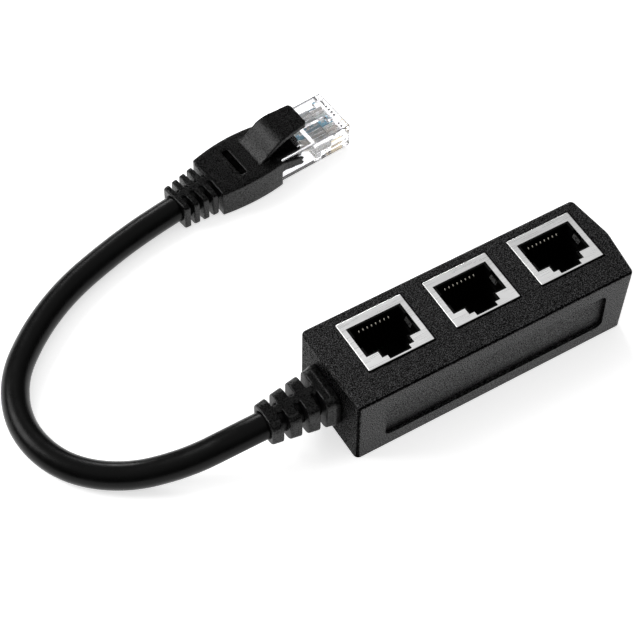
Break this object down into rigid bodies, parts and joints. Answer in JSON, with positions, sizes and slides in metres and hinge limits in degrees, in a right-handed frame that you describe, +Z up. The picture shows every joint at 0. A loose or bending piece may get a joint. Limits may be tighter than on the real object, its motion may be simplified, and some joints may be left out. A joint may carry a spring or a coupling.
{
  "type": "network splitter adapter",
  "caption": "Box with a row of shielded network sockets on its face, fed by a short lead that ends in a clear modular plug.",
  "frame": {"origin": "under the middle of the box, on the surface it stands on", "axes": "+X along the box, away from its lead; +Y across it, towards the side where the plug lies; +Z up, out of the sockets"},
  "size_m": [0.1273, 0.0837, 0.018],
  "materials": {
    "housing": "fine moulded grain",
    "base": "fine moulded grain",
    "board": "solder mask",
    "shield": "bright plated sheet",
    "insert": "plain moulded",
    "contact": "gold plated",
    "relief": "satin soft moulding",
    "jacket": "satin extruded jacket",
    "boot": "satin soft moulding",
    "clear_plug": "clear",
    "clear_guide": "clear",
    "insulation_orange": "smooth",
    "insulation_green": "smooth",
    "insulation_blue": "smooth",
    "insulation_brown": "smooth",
    "insulation_white_orange": "smooth, with a coloured stripe",
    "insulation_white_green": "smooth, with a coloured stripe",
    "insulation_white_blue": "smooth, with a coloured stripe",
    "insulation_white_brown": "smooth, with a coloured stripe"
  },
  "bodies": {
    "root": {"housing_shell": "housing", "base_plate": "base", "circuit_board": "board", "jack_shield_1": "shield", "jack_insert_1": "insert", "jack_contacts_1": "contact", "jack_shield_2": "shield", "jack_insert_2": "insert", "jack_contacts_2": "contact", "jack_shield_3": "shield", "jack_insert_3": "insert", "jack_contacts_3": "contact", "cable_relief": "relief", "cable_jacket": "jacket", "cable_jacket_end": "jacket", "wire_pair_orange": "insulation_orange", "wire_pair_green": "insulation_green", "wire_pair_blue": "insulation_blue", "wire_pair_brown": "insulation_brown", "plug_housing": "clear_plug", "plug_contacts": "contact", "wire_guide": "clear_guide", "plug_boot": "boot", "plug_wire_white_orange": "insulation_white_orange", "plug_wire_orange": "insulation_orange", "plug_wire_white_green": "insulation_white_green", "plug_wire_blue": "insulation_blue", "plug_wire_white_blue": "insulation_white_blue", "plug_wire_green": "insulation_green", "plug_wire_white_brown": "insulation_white_brown", "plug_wire_brown": "insulation_brown"}
  },
  "joints": []
}
